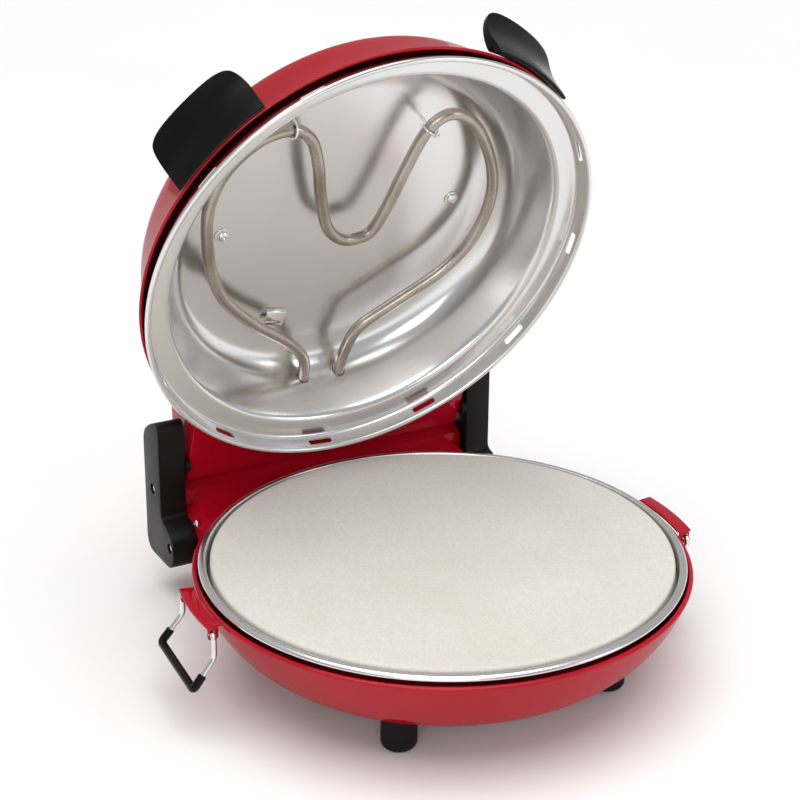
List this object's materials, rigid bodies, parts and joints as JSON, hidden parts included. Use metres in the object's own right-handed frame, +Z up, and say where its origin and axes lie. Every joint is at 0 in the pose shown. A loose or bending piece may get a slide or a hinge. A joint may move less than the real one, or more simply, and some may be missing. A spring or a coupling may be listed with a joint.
{
  "type": "countertop pizza oven",
  "caption": "Round electric pizza oven with a baking stone in a red bowl and a domed steel-lined lid on a rear hinge, with side handles, wire bails and rear dials.",
  "frame": {"origin": "centre of the bounding box's bottom face, on the worktop, with the lid open and the bails as they rest", "axes": "+Z up, the oven's front faces -Y, the lid hinge runs along X at the back"},
  "size_m": [0.3697, 0.3791, 0.4179],
  "materials": {
    "red_enamel": "gloss red enamel on sheet steel",
    "stainless_steel": "satin spun stainless steel",
    "chromed_wire": "bright chromed wire",
    "heater_tube": "heat-tinted sheathed heater tube",
    "baking_stone": "unglazed cream refractory stone",
    "black_plastic": "fine-textured black heat-proof plastic",
    "black_rubber": "black rubber",
    "lamp_lens": "clear red lens"
  },
  "bodies": {
    "base": {"base_bowl": "red_enamel", "base_pan": "stainless_steel", "lower_element": "heater_tube", "element_rest_a": "stainless_steel", "element_rest_b": "stainless_steel", "element_rest_c": "stainless_steel", "pan_post_a": "stainless_steel", "pan_post_b": "stainless_steel", "pan_post_c": "stainless_steel", "bottom_cover": "stainless_steel", "foot_front_left": "black_rubber", "foot_front_right": "black_rubber", "foot_rear_left": "black_rubber", "foot_rear_right": "black_rubber", "base_rear_box": "red_enamel", "terminal_block": "black_plastic", "cord_gland": "black_rubber", "flank_screw_left": "stainless_steel", "flank_screw_right": "stainless_steel", "hinge_arm_left": "black_plastic", "hinge_arm_right": "black_plastic", "arm_screw_left_upper": "stainless_steel", "arm_screw_left_lower": "stainless_steel", "arm_screw_right_upper": "stainless_steel", "arm_screw_right_lower": "stainless_steel", "hinge_pin_left": "stainless_steel", "hinge_pin_right": "stainless_steel", "ear_left": "red_enamel", "ear_right": "red_enamel"},
    "lid": {"lid_shell": "red_enamel", "lid_reflector": "stainless_steel", "upper_element": "heater_tube", "element_hook_left": "stainless_steel", "element_hook_right": "stainless_steel", "ceiling_screw_left": "stainless_steel", "ceiling_screw_right": "stainless_steel", "sensor_tab": "stainless_steel", "lid_handle_left": "black_plastic", "lid_handle_right": "black_plastic", "lid_rear_box": "red_enamel", "hinge_washer_left": "black_plastic", "hinge_washer_right": "black_plastic", "thermostat_body": "stainless_steel", "timer_body": "stainless_steel", "pilot_lamp": "lamp_lens"},
    "thermostat_dial": {"thermostat_knob": "black_plastic"},
    "timer_dial": {"timer_knob": "black_plastic"},
    "stone_disc": {"stone": "baking_stone"},
    "left_bail": {"bail_left": "chromed_wire", "bail_sleeve_left": "black_plastic"},
    "right_bail": {"bail_right": "chromed_wire", "bail_sleeve_right": "black_plastic"}
  },
  "joints": [
    {"name": "lid_hinge", "type": "hinge", "parent": "base", "child": "lid", "pos_m": [0.0071, 0.1476, 0.097], "axis": [1, 0, 0], "range_deg": [0, 70]},
    {"name": "stone_lift", "type": "slide", "parent": "base", "child": "stone_disc", "axis": [0, 0, -1], "range_m": [-0.0125, 0]},
    {"name": "bail_left_swing", "type": "hinge", "parent": "base", "child": "left_bail", "pos_m": [-0.16472, -0.00827, 0.0696], "axis": [0.0819, 0.9966, 0], "range_deg": [-27, 100]},
    {"name": "bail_right_swing", "type": "hinge", "parent": "base", "child": "right_bail", "pos_m": [0.17892, -0.03653, 0.0696], "axis": [-0.0819, -0.9966, 0], "range_deg": [-3, 124]},
    {"name": "thermostat_turn", "type": "hinge", "parent": "lid", "child": "thermostat_dial", "pos_m": [-0.0449, 0.17273, 0.10455], "axis": [0, 0.9807, -0.1955], "range_deg": [0, 270]},
    {"name": "timer_turn", "type": "hinge", "parent": "lid", "child": "timer_dial", "pos_m": [0.0591, 0.17273, 0.10455], "axis": [0, 0.9807, -0.1955], "range_deg": [0, 300]}
  ]
}
